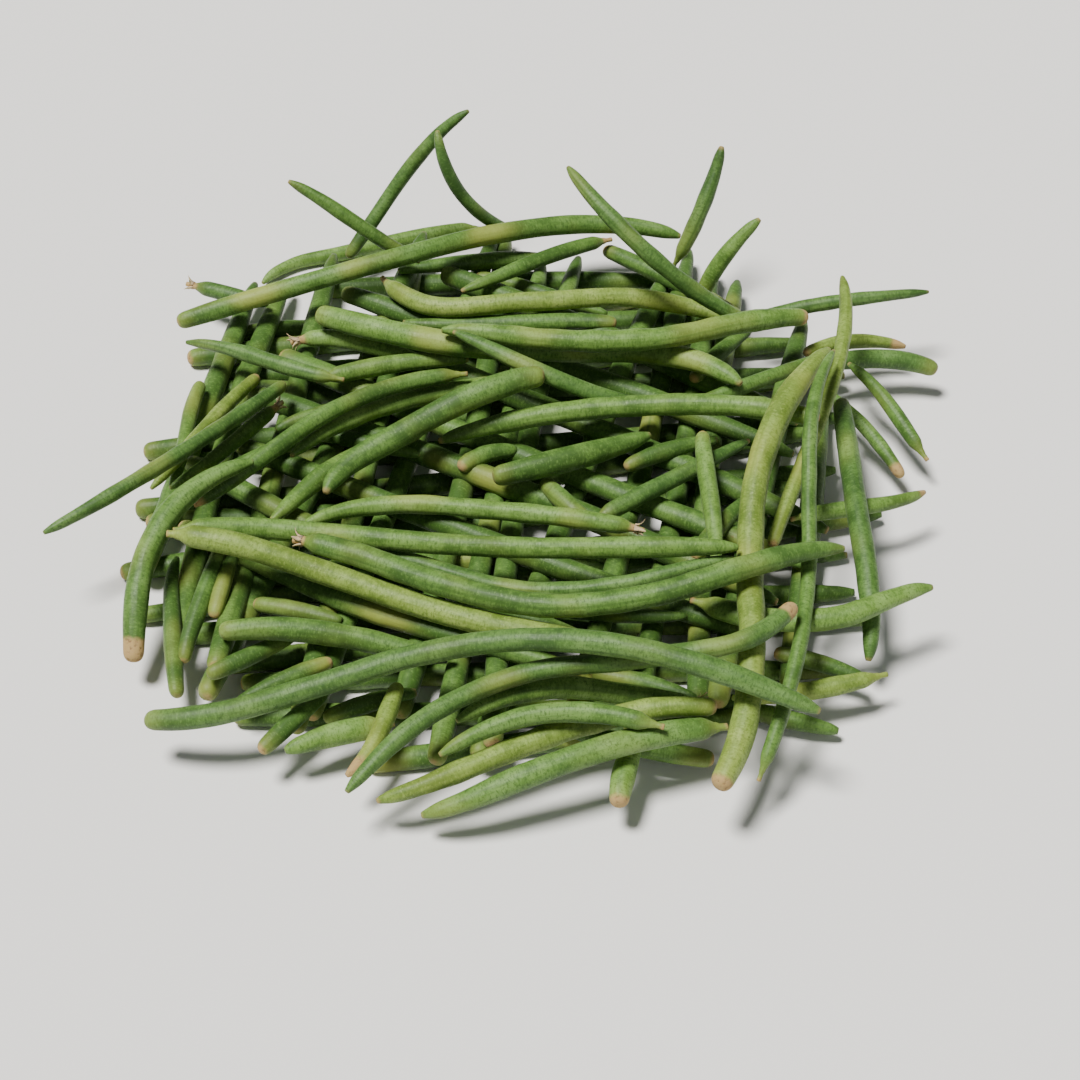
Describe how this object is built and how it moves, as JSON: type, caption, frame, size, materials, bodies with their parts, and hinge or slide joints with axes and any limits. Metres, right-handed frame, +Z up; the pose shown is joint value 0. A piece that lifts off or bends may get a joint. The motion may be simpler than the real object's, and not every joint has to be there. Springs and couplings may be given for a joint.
{
  "type": "green bean bundle",
  "caption": "Loose heap of whole fresh green beans, criss-crossed over one another and resting on a flat surface.",
  "frame": {"origin": "on the surface that the heap lies on, under the middle of the heap's box", "axes": "+Z up, +X to the viewer's right and along the heap's longest side, +Y away from the viewer"},
  "size_m": [0.254, 0.2384, 0.0575],
  "materials": {
    "pod_dark": "smooth waxy skin of a deep green pod, semi-matt with a soft highlight",
    "pod_green": "smooth waxy skin of a mid-green pod with fine darker mottling, semi-matt",
    "pod_light": "smooth waxy skin of a light green pod with fine darker mottling, semi-matt",
    "pod_yellow": "smooth waxy skin of a yellow-green pod with fine darker mottling, semi-matt"
  },
  "bodies": {
    "root": {"bean_01": "pod_light", "bean_02": "pod_dark", "bean_03": "pod_green", "bean_04": "pod_dark", "bean_05": "pod_dark", "bean_06": "pod_light", "bean_07": "pod_dark", "bean_08": "pod_yellow", "bean_09": "pod_dark", "bean_10": "pod_green", "bean_11": "pod_green", "bean_12": "pod_light", "bean_13": "pod_dark", "bean_14": "pod_light", "bean_15": "pod_yellow", "bean_16": "pod_light", "bean_17": "pod_dark", "bean_18": "pod_light", "bean_19": "pod_yellow", "bean_20": "pod_light", "bean_21": "pod_yellow", "bean_22": "pod_green", "bean_23": "pod_yellow", "bean_24": "pod_green", "bean_25": "pod_light", "bean_26": "pod_green", "bean_27": "pod_green", "bean_28": "pod_light", "bean_29": "pod_light", "bean_30": "pod_green", "bean_31": "pod_light", "bean_32": "pod_light", "bean_33": "pod_light", "bean_34": "pod_dark", "bean_35": "pod_light", "bean_36": "pod_green", "bean_37": "pod_yellow", "bean_38": "pod_green", "bean_39": "pod_dark", "bean_40": "pod_dark", "bean_41": "pod_light", "bean_42": "pod_light", "bean_43": "pod_yellow", "bean_44": "pod_dark", "bean_45": "pod_light", "bean_46": "pod_green", "bean_47": "pod_green", "bean_48": "pod_green", "bean_49": "pod_dark", "bean_50": "pod_green", "bean_51": "pod_yellow", "bean_52": "pod_green", "bean_53": "pod_light", "bean_54": "pod_dark", "bean_55": "pod_light", "bean_56": "pod_yellow", "bean_57": "pod_dark", "bean_58": "pod_green", "bean_59": "pod_dark", "bed_beans": "pod_green"}
  },
  "joints": []
}
